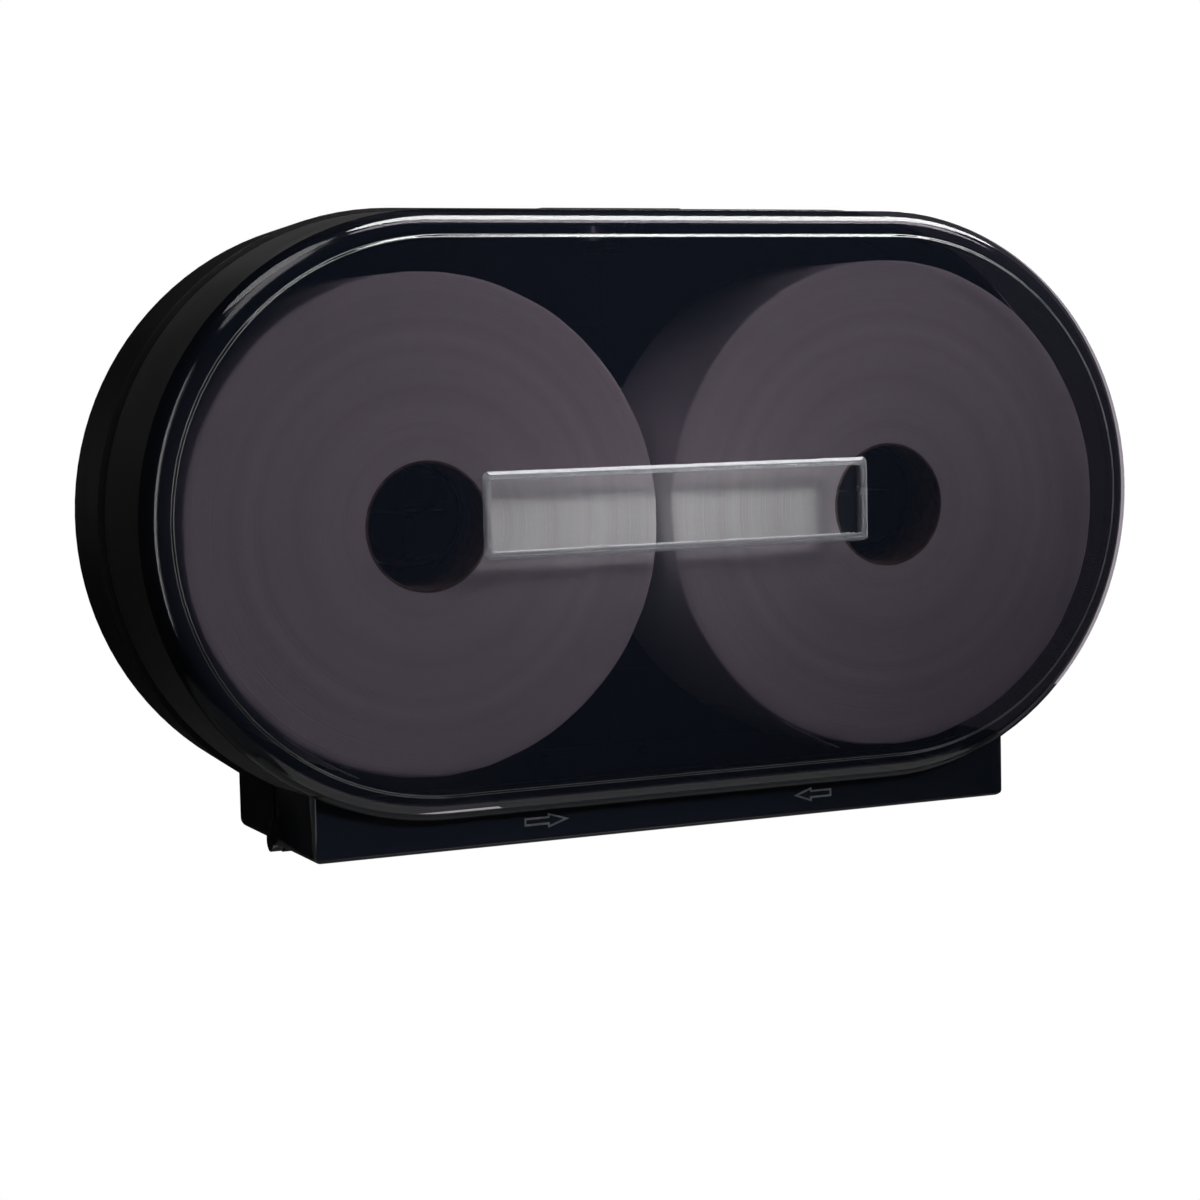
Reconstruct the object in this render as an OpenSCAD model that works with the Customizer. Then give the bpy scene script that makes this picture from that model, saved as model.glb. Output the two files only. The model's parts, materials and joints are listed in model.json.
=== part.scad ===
// Twin jumbo toilet roll dispenser for a wall.
// The wall is the plane y = 0, the room lies towards -y, and z is up.
// The origin is the middle of the four wall screws. A "depth" is a distance from the wall.

/* [Paper rolls] */
// Diameter of the left roll
left_roll_d = 229; // [120:1:240]
// Diameter of the right roll
right_roll_d = 237; // [120:1:240]
// Width of a roll
roll_w = 87; // [76:1:100]
// Inside diameter of a roll's cardboard core
core_d = 57.2; // [54:0.2:76]
// Wall of the cardboard core
core_wall = 1.2; // [0.8:0.1:2.5]
// Gap between the two rolls
roll_gap = 6; // [4:0.5:12]
// Rounding of a roll's edges
roll_edge = 1.2; // [0.5:0.1:3]

/* [Outline] */
// How much closer than the rolls the centres of the round ends lie to the middle
end_inset = 3.5; // [0:0.5:8]
// How much larger than the larger roll's radius the cover is at its rear edge
roll_room = 20.3; // [19.5:0.1:30]
// How much smaller the cover's radius is where the front rim starts to round
cover_draft = 1.6; // [0.4:0.2:3]
// How far the casing's front lip stands out past the cover
lip_step = 2.2; // [0.8:0.2:4]
// How much smaller the casing is at the wall than at its lip
casing_draft = 2.5; // [0.5:0.5:5]
// Wall thickness of casing and cover
wall = 2.4; // [2:0.1:3]

/* [Depths] */
// Depth of the back casing up to its front lip
casing_depth = 52; // [48:1:60]
// Width of the groove between the casing's lip and the cover
seam_gap = 5; // [3:0.5:8]
// Depth at which the back of a roll lies
roll_back = 16; // [14:1:22]
// Free room between the front of a roll and the cover
front_room = 11.6; // [6:0.2:16]

/* [Cover front] */
// Radius of the rounded front rim
rim_round = 10; // [6:0.5:14]
// Distance from the outline in to the edge of the raised front panel
panel_inset = 11.7; // [8:0.1:20]
// Height of the raised front panel
panel_rise = 1; // [0.6:0.1:2]
// Width of the clear window, over its raised frame
window_w = 198; // [120:1:220]
// Height of the clear window, over its raised frame
window_h = 40; // [24:1:60]
// Width of the window's raised frame
window_frame = 3.5; // [2.5:0.1:6]
// How far the window's frame stands out of the front panel
window_rise = 1.6; // [1:0.1:3]
// Corner radius of the window
window_corner = 3; // [1.5:0.5:8]
// Thickness of the clear pane
pane_t = 2.4; // [1.6:0.1:4]
// Play round the pane in its opening
pane_play = 0.3; // [0.1:0.1:0.8]

/* [Skirt] */
// How much wider than the centres of the ends the skirt reaches on each side
skirt_reach = 64.5; // [58:0.5:70]
// How far the skirt hangs below the round cover
skirt_drop = 13.2; // [12:0.2:20]
// How far the skirt's front face stands back from the rim
skirt_setback = 9.5; // [6:0.5:14]
// How much higher than the skirt the casing ends
casing_lift = 1.6; // [0.6:0.2:3]
// Radius of the skirt's lower corners
skirt_corner = 5; // [2:0.5:8]
// Radius of the skirt's front edges
skirt_edge = 2.4; // [1:0.2:4]

/* [Hinge] */
// Diameter of the two hinge pins
pin_d = 5; // [4:0.5:6]
// Radial play of the cover on its pins
pin_play = 0.05; // [0.03:0.01:0.1]
// Radius of the round hinge ears
ear_r = 5; // [4.5:0.5:6]
// Width of the casing's inner hinge ears
ear_w = 6.8; // [5:0.2:9]
// How far the cover's outer hinge ears stand out of the skirt's sides
ear_rise = 2.8; // [2:0.2:4]
// Height of the hinge axis over the skirt's lower edge
hinge_up = 3.5; // [3:0.5:5]

/* [Outlet and gate] */
// Width of each paper outlet, from left to right
outlet_w = 95; // [70:1:100]
// Length of each paper outlet, from back to front
outlet_l = 78; // [60:1:80]
// How far the gate reaches past the outlet that it closes
gate_lap = 7; // [4:0.5:9]
// Thickness of the sliding gate
gate_t = 2; // [1.5:0.1:3]
// Play of the gate in its track
gate_play = 0.3; // [0.2:0.1:0.6]
// Thickness of the outlet frame's floor
floor_t = 2.5; // [2:0.1:3.5]
// Length of the gate's finger tab
tab_l = 18; // [12:1:30]
// Thickness of the gate's finger tab
tab_t = 5; // [3:0.5:7]
// Distance between the teeth of the tear bars
tooth_pitch = 2; // [1.5:0.5:4]
// Height of the teeth
tooth_h = 1.4; // [0.8:0.1:2.5]
// Thickness of the tear bars' steel
blade_t = 0.8; // [0.5:0.1:1.5]

/* [Spindles] */
// Diameter of the spindles that carry the cores
hub_d = 48; // [40:1:50]
// Length of a spindle in front of a roll's back
hub_l = 68; // [50:1:74]
// Wall of the hollow spindle
hub_wall = 2.5; // [2:0.1:4]
// Diameter of the spindle's foot flange
foot_d = 92; // [86:1:100]
// Diameter of the shoulder behind the roll
shoulder_d = 66; // [62:1:68]
// Thickness of the foot flange
foot_t = 3; // [2:0.5:4]

/* [Lock] */
// Diameter of the lock's housing
lock_d = 18; // [16:1:20]
// Diameter of the turning plug
plug_d = 12; // [10:0.5:13]
// Radial play of the plug in its housing
plug_play = 0.05; // [0.03:0.01:0.1]
// Reach of the cam from the lock's axis
cam_reach = 19; // [16:0.5:21]
// Width of the cam
cam_w = 9; // [8:0.5:10]
// Thickness of the cam
cam_t = 4; // [2:0.5:5]
// Width of the lock's raised pad on top of the casing
pad_w = 73; // [50:1:90]
// How far the pad stands out over the lip
pad_rise = 0.6; // [0.4:0.1:2]

/* [Mounting] */
// Distance between the wall screws from left to right
screws_x = 130; // [110:1:140]
// Distance between the wall screws from bottom to top
screws_z = 120; // [110:1:150]
// Diameter of the wall screws' holes
screw_hole_d = 5.5; // [4:0.5:6.5]

/* [Hidden] */
$fn = 96;
eps = 0.01;

// Rolls: each core hangs on top of its spindle
roll_x = (left_roll_d + right_roll_d) / 4 + roll_gap / 2;
rest_gap = 0.3;
roll_z = hub_d / 2 + rest_gap - core_d / 2;
roll_front = roll_back + roll_w;

// Outline
end_x = roll_x - end_inset;
cover_r = max(left_roll_d, right_roll_d) / 2 + roll_room;
rim_r = cover_r - cover_draft;
lip_r = cover_r + lip_step;
casing_r = lip_r - casing_draft;
cover_back = casing_depth + seam_gap;
rim_depth = roll_front + front_room + wall;
front_depth = rim_depth + panel_rise;
panel_r = rim_r - panel_inset;

// The casing's tongue reaches across the groove into the cover
tongue_play = 0.5;
tongue_t = 2;
tongue_reach = 3;
tongue_r = cover_r - wall - tongue_play;
tongue_depth = cover_back + tongue_reach;
lip_t = 3;

// Skirt
skirt_half = end_x + skirt_reach;
skirt_inner = skirt_half - wall;
skirt_low = -cover_r - skirt_drop;
casing_low = skirt_low + casing_lift;
skirt_depth = rim_depth - skirt_setback;
tongue_half = skirt_inner - tongue_play;
join_z = skirt_low / 2;

// Casing: ribs and bosses on its rear wall
rib_t = 1.8;
rib_h = 4;
rib_past_screws = 28;
rib_spread = 28;
rib_ends = 12;
wall_boss_t = 4;
wall_boss_h = 3;
foot_margin = 2;

// Hinge
hinge_depth = casing_depth + seam_gap / 2;
hinge_z = skirt_low + hinge_up;
ear_play = 0.3;
ear_in = tongue_half - ear_w;
pin_head_t = 1.4;
pin_head_r = pin_d / 2 + 1.3;
ear_out = skirt_half + ear_rise;
ear_room = 1;
casing_ear_r = ear_r + 0.5;
ear_arm_l = 16;
ear_arm_h = 11;
ear_arm_shift = 4;
ear_root_up = 11;
ear_root_front = 6;
ear_root_back = 2.5;
pin_out = 0.4;
fit_play = 0.02;

// Outlet frame: it stays inside the arc that the skirt's front wall sweeps
frame_wall = 2;
frame_side_room = 2.4;
frame_front_room = 1.8;
frame_half = ear_in - pin_head_t - frame_side_room;
frame_front = skirt_depth - wall - frame_front_room;
frame_back = 7.5;
floor_over_hinge = 5;
floor_top = hinge_z + floor_over_hinge;
floor_low = floor_top - floor_t;
gate_low = floor_top + gate_play;
gate_top = gate_low + gate_t;
rail_lip = 1.6;
rail_top = gate_top + gate_play + rail_lip;
rail_cover = 2.6;
flange_wall = 2.5;
flange_h = 19;
rear_rail = frame_back + flange_wall;
stop_t = 2;
end_room = 8;
gate_w = outlet_w + 2 * gate_lap;
outlet_x = frame_half - frame_wall - end_room - gate_w / 2;
outlet_mid = (rear_rail + frame_wall + frame_front - frame_wall) / 2;
gate_back = rear_rail + frame_wall + gate_play;
gate_front = frame_front - frame_wall - gate_play;
apron = 3;
slot_play = 1;
tab_up = 1;
tab_low = skirt_low + tab_up;
boss_r = 4.5;
boss_up = 14;
boss_mid_x = 27;
boss_end = 13;
frame_screw_l = 8;
gate_rib_t = 1.8;
gate_rib_h = 1.6;
gate_rib_end = 3;
grip_t = 0.8;
grip_h = 5;

// Tear bars, under the outer edge of each outlet
blade_x = outlet_x + outlet_w / 2 + frame_wall;
blade_past_outlet = 2;
blade_l = outlet_l + 2 * blade_past_outlet;
blade_up = 0.5;
blade_low = skirt_low + blade_up;
blade_foot = 9;
rivet_r = 1.5;
rivet_head_r = 2.7;
rivet_head_t = 1;
rivet_end = 10;
rivet_x = blade_x + blade_foot / 2 + blade_t;
rivet_step = blade_l / 2 - rivet_end;

// Spindle seats and screws
seat_t = 4;
seat_depth = wall + seat_t;
foot_front = seat_depth + foot_t;
foot_screw_end = 6;
foot_screw_r = foot_d / 2 - foot_screw_end;
spindle_screw_l = 6;
nose_r = 3;
cross_t = 1.8;
cross_sink = 14;
small_screw_r = 1.5;
screw_play = 0.3;
small_head_r = 3.1;
small_head_t = 2;

// Lock: the cam swings under the catch's arm and stops in front of its hook
lock_forward = 4;
lock_depth = casing_depth / 2 + lock_forward;
pad_sink = 4.5;
pad_top = lip_r + pad_rise;
pad_low = lip_r - pad_sink;
pad_back = 12;
pad_behind_lip = 4;
pad_front = casing_depth - pad_behind_lip;
flange_t = 1.2;
flange_w = 2.5;
flange_r = lock_d / 2 + flange_w;
nut_t = 3;
nut_w = 4.5;
nut_flats = lock_d + 2 * nut_w;
cam_drop = 10;
cam_top = pad_low - cam_drop;
cam_low = cam_top - cam_t;
cam_play = 0.6;
housing_low = cam_top + cam_play;
plug_sink = 0.4;
plug_step = 2;
plug_neck_r = plug_d / 2 - plug_step;
key_slot_l = 7.4;
key_slot_w = 2;
key_slot_h = 6;
cam_boss = 1.5;
cam_screw_r = 1.9;
cam_screw_l = 7;
cam_screw_head_t = 2.2;
arm_over_cam = 1.3;
arm_low = cam_top + arm_over_cam;
arm_t = 2.5;
arm_w = 10;
arm_beside_lock = 1;
arm_x = lock_d / 2 + arm_beside_lock;
hook_play = 0.4;
hook_t = 3.6;
hook_reach = 2;
hook_front = lock_depth - cam_w / 2 - hook_play;
hook_low = cam_low - hook_reach;
catch_in_cover = 5;
catch_l = 15;
catch_back = cover_back + catch_in_cover;
catch_front = catch_back + catch_l;
catch_w = 24;
catch_x = arm_x + arm_w / 2;
catch_screw_step = 7;
catch_screw_l = 4;

// ---- Helpers ----

// Puts a flat shape on the wall plane and lets an extrusion run from a depth towards the room
module out_from(depth) {
    translate([0, -depth, 0])
        rotate([90, 0, 0])
            children();
}

// Runs a shape drawn as [-depth, height] along x
module along_x(start, length) {
    translate([start, 0, 0])
        rotate([90, 0, 90])
            linear_extrude(length)
                children();
}

// Sweeps a profile, drawn as [radius, depth], round an outline with two round ends
module round_ended() {
    out_from(0) {
        for (turn = [0, 180])
            rotate([0, 0, turn])
                translate([end_x, 0, 0])
                    rotate([0, 0, -90])
                        rotate_extrude(angle = 180)
                            children();
        translate([-end_x, 0, 0])
            rotate([90, 0, 90])
                linear_extrude(2 * end_x) {
                    children();
                    mirror([1, 0])
                        children();
                }
    }
}

// A turned piece whose axis points out of the wall, drawn as [radius, depth]
module turned(x, z) {
    translate([x, 0, z])
        out_from(0)
            rotate_extrude()
                children();
}

// A round pin or hole along x, from one distance to another on both sides of the middle
module side_pins(radius, from, to) {
    for (side = [-1, 1])
        translate([side * (from + to) / 2, -hinge_depth, hinge_z])
            rotate([0, 90, 0])
                cylinder(r = radius, h = to - from, center = true);
}

// Front view of the skirt's box, with round lower corners
module skirt_outline(half, low) {
    translate([-half, low + skirt_corner])
        square([2 * half, join_z - low - skirt_corner]);
    translate([-half + skirt_corner, low])
        square([2 * (half - skirt_corner), skirt_corner + eps]);
    for (side = [-1, 1])
        translate([side * (half - skirt_corner), low + skirt_corner])
            circle(skirt_corner);
}

// A box that is open below, from one depth to another
module open_box(half, from, to) {
    translate([-half, -to, 2 * skirt_low])
        cube([2 * half, to - from, join_z - 2 * skirt_low]);
}

module rounded_rectangle(w, h, corner) {
    square([w - 2 * corner, h], center = true);
    square([w, h - 2 * corner], center = true);
    for (sx = [-1, 1], sz = [-1, 1])
        translate([sx * (w / 2 - corner), sz * (h / 2 - corner)])
            circle(corner);
}

// A screw along -y with its head towards the room; depth is where the head seats
module wall_screw(depth, length, shank_r, head_r, head_t) {
    turned(0, 0) {
        translate([0, depth - length])
            square([shank_r, length]);
        translate([0, depth])
            polygon([[0, 0], [head_r, 0], [head_r, head_t * 0.5], [head_r * 0.7, head_t], [0, head_t]]);
    }
}

// ---- Back casing ----

module casing_body() {
    round_ended()
        polygon([[0, 0], [casing_r, 0], [lip_r, casing_depth], [0, casing_depth]]);
    round_ended()
        square([tongue_r, tongue_depth]);
    out_from(0)
        linear_extrude(casing_depth)
            skirt_outline(skirt_half, casing_low);
    out_from(casing_depth - lip_t)
        linear_extrude(tongue_depth - casing_depth + lip_t)
            skirt_outline(tongue_half, casing_low);
}

module casing_hollow() {
    slope = casing_draft / casing_depth;
    round_ended()
        polygon([[0, wall], [casing_r - wall + wall * slope, wall],
            [lip_r - wall - lip_t * slope, casing_depth - lip_t], [0, casing_depth - lip_t]]);
    round_ended()
        translate([0, wall])
            square([tongue_r - tongue_t, tongue_depth]);
    open_box(skirt_inner, wall, casing_depth - lip_t);
    open_box(tongue_half - tongue_t, wall, tongue_depth + 1);
}

module frame_boss_places() {
    for (x = [boss_mid_x, frame_half - boss_end], side = [-1, 1])
        translate([side * x, 0, floor_top + boss_up])
            children();
}

module spindle_screw_places(x) {
    for (turn = [90, 210, 330])
        translate([x + foot_screw_r * cos(turn), 0, foot_screw_r * sin(turn)])
            children();
}

module wall_screw_places() {
    for (sx = [-1, 1], sz = [-1, 1])
        translate([sx * screws_x / 2, 0, sz * screws_z / 2])
            children();
}

module casing_ribs() {
    for (side = [-1, 1]) {
        translate([-end_x, -wall - rib_h, side * (screws_z / 2 + rib_past_screws) - rib_t / 2])
            cube([2 * end_x, rib_h + eps, rib_t]);
        translate([side * rib_spread / 2 - rib_t / 2, -wall - rib_h, -casing_r + rib_ends])
            cube([rib_t, rib_h + eps, 2 * (casing_r - rib_ends)]);
    }
}

module back_casing() {
    color("#1b1b1d")
    difference() {
        union() {
            difference() {
                casing_body();
                casing_hollow();
            }
            casing_ribs();
            // Raised seats for the spindles and bosses for the outlet frame and the wall screws
            for (side = [-1, 1])
                turned(side * roll_x, 0)
                    translate([0, wall - eps])
                        square([foot_d / 2 + foot_margin, seat_t + eps]);
            frame_boss_places()
                turned(0, 0)
                    translate([0, wall - eps])
                        square([boss_r, frame_back - wall + eps]);
            wall_screw_places()
                turned(0, 0)
                    translate([0, wall - eps])
                        square([screw_hole_d / 2 + wall_boss_t, wall_boss_h + eps]);
            // Pad that holds the lock
            translate([-pad_w / 2, -pad_front, pad_low])
                cube([pad_w, pad_front - pad_back, pad_top - pad_low]);
            // Hinge ears
            side_pins(casing_ear_r, ear_in, tongue_half);
            for (side = [-1, 1])
                translate([side * (ear_in + tongue_half) / 2, -hinge_depth + ear_arm_shift,
                    hinge_z + ear_arm_shift])
                    cube([ear_w, ear_arm_l, ear_arm_h], center = true);
        }
        wall_screw_places()
            turned(0, 0)
                translate([0, -1])
                    square([screw_hole_d / 2, wall + wall_boss_h + 2]);
        for (side = [-1, 1])
            spindle_screw_places(side * roll_x)
                turned(0, 0)
                    translate([0, 1])
                        square([small_screw_r + fit_play, seat_depth]);
        frame_boss_places()
            turned(0, 0)
                translate([0, 1])
                    square([small_screw_r + fit_play, frame_back]);
        // The lock's hole with the seat of its flange
        translate([0, -lock_depth, 0]) {
            translate([0, 0, pad_low - pad_sink])
                cylinder(r = lock_d / 2 + fit_play, h = 3 * pad_sink);
            translate([0, 0, pad_top - flange_t])
                cylinder(r = flange_r + screw_play, h = 2 * flange_t);
        }
        side_pins(pin_d / 2 + fit_play, ear_in - 1, tongue_half + 1);
        // Room for the cover's outer ears to turn
        side_pins(ear_r + ear_room, tongue_half + ear_play / 2, ear_out + ear_room);
    }
}

// ---- Spindles ----

module spindle(x) {
    front = roll_back + hub_l;
    nose_start = front - nose_r;
    shoulder_front = roll_back - rest_gap;
    difference() {
        turned(x, 0) {
            translate([0, seat_depth])
                square([foot_d / 2, foot_t]);
            polygon([[0, foot_front], [shoulder_d / 2 + 1, foot_front],
                [shoulder_d / 2, shoulder_front], [0, shoulder_front]]);
            translate([0, foot_front])
                square([hub_d / 2, nose_start - foot_front]);
            translate([0, foot_front])
                square([hub_d / 2 - nose_r, front - foot_front]);
            translate([hub_d / 2 - nose_r, nose_start])
                circle(nose_r);
        }
        turned(x, 0)
            translate([0, foot_front])
                square([hub_d / 2 - hub_wall, front]);
        spindle_screw_places(x)
            turned(0, 0)
                square([small_screw_r + screw_play, foot_front + 1]);
    }
    // Cross ribs inside the hollow hub
    for (turn = [0, 90])
        translate([x, 0, 0])
            rotate([0, turn, 0])
                translate([-(hub_d - hub_wall) / 2, -front + cross_sink, -cross_t / 2])
                    cube([hub_d - hub_wall, front - cross_sink - foot_front + eps, cross_t]);
}

module left_spindle() {
    color("#232326") spindle(-roll_x);
}

module right_spindle() {
    color("#232326") spindle(roll_x);
}

module spindle_screws() {
    color("#8d9094")
    for (side = [-1, 1])
        spindle_screw_places(side * roll_x)
            wall_screw(foot_front, spindle_screw_l, small_screw_r, small_head_r, small_head_t);
}

// ---- Outlet frame, tear bars and gate ----

module outlet_window(extra, low, high) {
    for (side = [-1, 1])
        translate([side * outlet_x - outlet_w / 2 - extra, -outlet_mid - outlet_l / 2 - extra, low])
            cube([outlet_w + 2 * extra, outlet_l + 2 * extra, high - low]);
}

module outlet_frame() {
    slot_w = 2 * (outlet_x - outlet_w / 2 + frame_wall);
    color("#2b2b2e")
    difference() {
        union() {
            // Floor, with a short apron round each outlet
            translate([-frame_half, -frame_front, floor_low])
                cube([2 * frame_half, frame_front - frame_back, floor_t]);
            outlet_window(frame_wall, floor_low - apron, floor_low + eps);
            // Rear flange that is screwed to the casing
            translate([-frame_half, -rear_rail, floor_low])
                cube([2 * frame_half, flange_wall, floor_t + flange_h]);
            // Rails with lips that hold the gate down
            translate([-frame_half, -rear_rail - frame_wall, floor_top - eps])
                cube([2 * frame_half, frame_wall + eps, rail_top - floor_top + eps]);
            translate([-frame_half, -rear_rail - frame_wall - rail_cover, rail_top - rail_lip])
                cube([2 * frame_half, rail_cover + eps, rail_lip]);
            translate([-frame_half, -frame_front, floor_top - eps])
                cube([2 * frame_half, frame_wall, rail_top - floor_top + eps]);
            translate([-frame_half, -frame_front + frame_wall - eps, rail_top - rail_lip])
                cube([2 * frame_half, rail_cover + eps, rail_lip]);
            // End walls, and the stops that end the gate's travel
            for (side = [-1, 1]) {
                translate([side * (frame_half - frame_wall / 2), -(frame_front + rear_rail) / 2,
                    (floor_low + rail_top) / 2])
                    cube([frame_wall, frame_front - rear_rail, rail_top - floor_low], center = true);
                translate([side * (outlet_x + gate_w / 2 + gate_play + stop_t / 2), -outlet_mid,
                    floor_top + gate_t / 2])
                    cube([stop_t, outlet_l / 2, gate_t + eps], center = true);
            }
        }
        outlet_window(0, floor_low - apron - 1, floor_top + 1);
        // Slot that lets the gate's tab pass from one outlet to the other
        translate([-slot_w / 2, -outlet_mid - tab_t / 2 - slot_play, floor_low - apron - 1])
            cube([slot_w, tab_t + 2 * slot_play, floor_t + apron + 2]);
        frame_boss_places()
            turned(0, 0)
                square([small_screw_r + screw_play, rear_rail + 1]);
        // The rivets' upper heads are sunk, so that the gate slides over them
        tear_bar_rivet_places() {
            translate([0, 0, floor_low - 1])
                cylinder(r = rivet_r + fit_play, h = floor_t + 2);
            translate([0, 0, floor_top - rivet_head_t])
                cylinder(r = rivet_head_r + fit_play, h = 2 * rivet_head_t);
        }
    }
}

module frame_screws() {
    color("#1f1f22")
    frame_boss_places()
        wall_screw(rear_rail, frame_screw_l, small_screw_r, small_head_r, small_head_t);
}

module tear_bar_rivet_places() {
    for (side = [-1, 1], step = [-1, 1])
        translate([side * rivet_x, -outlet_mid + step * rivet_step, 0])
            children();
}

// A steel angle: a toothed blade that hangs at the outlet's edge, and a foot under the floor
module tear_bars() {
    teeth = floor(blade_l / tooth_pitch);
    back = outlet_mid - blade_l / 2;
    comb = [for (i = [0 : teeth]) each [
        [-back - i * tooth_pitch, blade_low + tooth_h],
        if (i < teeth) [-back - (i + 0.5) * tooth_pitch, blade_low]]];
    color("#b9bcc0")
    difference() {
        for (side = [0, 180])
            translate([0, -outlet_mid, 0])
                rotate([0, 0, side])
                    translate([0, outlet_mid, 0]) {
                        along_x(blade_x, blade_t)
                            polygon(concat(comb, [[-back - teeth * tooth_pitch, floor_low],
                                [-back, floor_low]]));
                        translate([blade_x, -back - teeth * tooth_pitch, floor_low - blade_t])
                            cube([blade_t + blade_foot, teeth * tooth_pitch, blade_t]);
                    }
        tear_bar_rivet_places()
            translate([0, 0, floor_low - blade_t - 1])
                cylinder(r = rivet_r + fit_play, h = blade_t + 2);
    }
}

module tear_bar_rivets() {
    color("#9a9da1")
    tear_bar_rivet_places() {
        translate([0, 0, floor_low - blade_t])
            cylinder(r = rivet_r, h = blade_t + floor_t);
        for (z = [floor_low - blade_t - rivet_head_t, floor_top - rivet_head_t])
            translate([0, 0, z])
                cylinder(r = rivet_head_r, h = rivet_head_t);
    }
}

// The gate rests over the right outlet and slides to the left one
module slide_gate() {
    rib_l = gate_front - gate_back - 2 * (rail_cover + gate_rib_end);
    color("#3a3a3e") {
        translate([outlet_x - gate_w / 2, -gate_front, gate_low])
            cube([gate_w, gate_front - gate_back, gate_t]);
        // Stiffening ribs on top
        for (step = [-1, 0, 1])
            translate([outlet_x + step * gate_w / 3 - gate_rib_t / 2, -outlet_mid - rib_l / 2, gate_top - eps])
                cube([gate_rib_t, rib_l, gate_rib_h]);
        // Finger tab with grip ridges
        translate([outlet_x - tab_l / 2, -outlet_mid - tab_t / 2, tab_low])
            cube([tab_l, tab_t, gate_low - tab_low + eps]);
        for (step = [-2 : 2])
            translate([outlet_x + step * tab_l / 6 - grip_t / 2, -outlet_mid - (tab_t + grip_t) / 2, tab_low])
                cube([grip_t, tab_t + grip_t, grip_h]);
    }
}

// ---- Hinge ----

module hinge_pins() {
    color("#1f1f22") {
        side_pins(pin_d / 2, ear_in - eps, ear_out + pin_out);
        side_pins(pin_head_r, ear_in - pin_head_t, ear_in);
    }
}

// ---- Lock ----

module at_lock() {
    translate([0, -lock_depth, 0])
        children();
}

module lock_housing() {
    color("#a8abb0")
    at_lock()
        difference() {
            union() {
                translate([0, 0, housing_low])
                    cylinder(r = lock_d / 2, h = pad_top - housing_low);
                translate([0, 0, pad_top - flange_t])
                    cylinder(r = flange_r, h = flange_t);
            }
            translate([0, 0, housing_low - 1])
                cylinder(r = plug_d / 2 + plug_play, h = pad_top - housing_low + 2);
        }
}

module lock_nut() {
    color("#1f1f22")
    at_lock()
        difference() {
            translate([0, 0, pad_low - nut_t])
                cylinder(r = nut_flats / 2 / cos(30), h = nut_t, $fn = 6);
            translate([0, 0, pad_low - nut_t - 1])
                cylinder(r = lock_d / 2 + fit_play, h = nut_t + 2);
        }
}

module lock_plug() {
    color("#d0d2d5")
    at_lock()
        difference() {
            union() {
                translate([0, 0, cam_top])
                    cylinder(r = plug_d / 2, h = pad_top - plug_sink - cam_top);
                translate([0, 0, cam_low])
                    cylinder(r = plug_neck_r, h = cam_t + eps);
            }
            // Key slot
            translate([-key_slot_l / 2, -key_slot_w / 2, pad_top - key_slot_h])
                cube([key_slot_l, key_slot_w, 2 * key_slot_h]);
            translate([0, 0, cam_low - 1])
                cylinder(r = cam_screw_r + fit_play, h = cam_screw_l + 1.5);
        }
}

// The cam points to the room when unlocked, and to +x when locked
module lock_cam() {
    color("#1f1f22")
    at_lock()
        translate([0, 0, cam_low])
            difference() {
                union() {
                    cylinder(r = cam_w / 2 + cam_boss, h = cam_t);
                    translate([-cam_w / 2, -cam_reach + cam_w / 2, 0])
                        cube([cam_w, cam_reach - cam_w / 2, cam_t]);
                    translate([0, -cam_reach + cam_w / 2, 0])
                        cylinder(r = cam_w / 2, h = cam_t);
                }
                translate([0, 0, -1])
                    cylinder(r = plug_neck_r + fit_play, h = cam_t + 2);
            }
}

module cam_screw() {
    color("#1f1f22")
    at_lock() {
        translate([0, 0, cam_low])
            cylinder(r = cam_screw_r, h = cam_screw_l);
        translate([0, 0, cam_low - cam_screw_head_t])
            cylinder(r = plug_neck_r + cam_boss, h = cam_screw_head_t);
    }
}

// ---- Cover ----

// Solid form of the cover from a depth on, shrunk by a distance for its hollow
module cover_dome(shrink, from) {
    rim_start = rim_depth - rim_round;
    round_ended() {
        polygon([[0, from], [cover_r - shrink, from], [rim_r - shrink, rim_start],
            [rim_r - rim_round, rim_depth - shrink], [0, rim_depth - shrink]]);
        translate([rim_r - rim_round, rim_start])
            circle(rim_round - shrink);
    }
    round_ended()
        translate([0, rim_start])
            square([panel_r - shrink, front_depth - shrink - rim_start]);
}

// Solid form of the skirt: three outlines cut across each other, so that its edges are round
module skirt_block() {
    intersection() {
        out_from(cover_back)
            linear_extrude(skirt_depth - cover_back)
                skirt_outline(skirt_half, skirt_low);
        along_x(-skirt_half, 2 * skirt_half) {
            translate([-skirt_depth, skirt_low + skirt_edge])
                square([skirt_depth, join_z - skirt_low]);
            translate([-skirt_depth + skirt_edge, skirt_low])
                square([skirt_depth, join_z - skirt_low]);
            translate([-skirt_depth + skirt_edge, skirt_low + skirt_edge])
                circle(skirt_edge);
        }
        translate([0, 0, skirt_low])
            linear_extrude(join_z - skirt_low) {
                translate([-skirt_half, -skirt_depth + skirt_edge])
                    square([2 * skirt_half, skirt_depth]);
                translate([-skirt_half + skirt_edge, -skirt_depth])
                    square([2 * (skirt_half - skirt_edge), skirt_depth]);
                for (side = [-1, 1])
                    translate([side * (skirt_half - skirt_edge), -skirt_depth + skirt_edge])
                        circle(skirt_edge);
            }
    }
}

// Outer hinge ear: a drop shape that hangs on the skirt's side
module cover_ears() {
    for (side = [-1, 1])
        along_x(side > 0 ? skirt_inner : -ear_out, ear_out - skirt_inner) {
            translate([-hinge_depth, hinge_z])
                circle(ear_r);
            polygon([[-hinge_depth, hinge_z - ear_r],
                [-hinge_depth - ear_r * cos(30), hinge_z - ear_r / 2],
                [-cover_back - ear_root_front, hinge_z + ear_root_up],
                [-cover_back - ear_root_back, hinge_z + ear_root_up],
                [-hinge_depth + ear_r / 5, hinge_z + ear_r / 2]]);
        }
}

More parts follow.
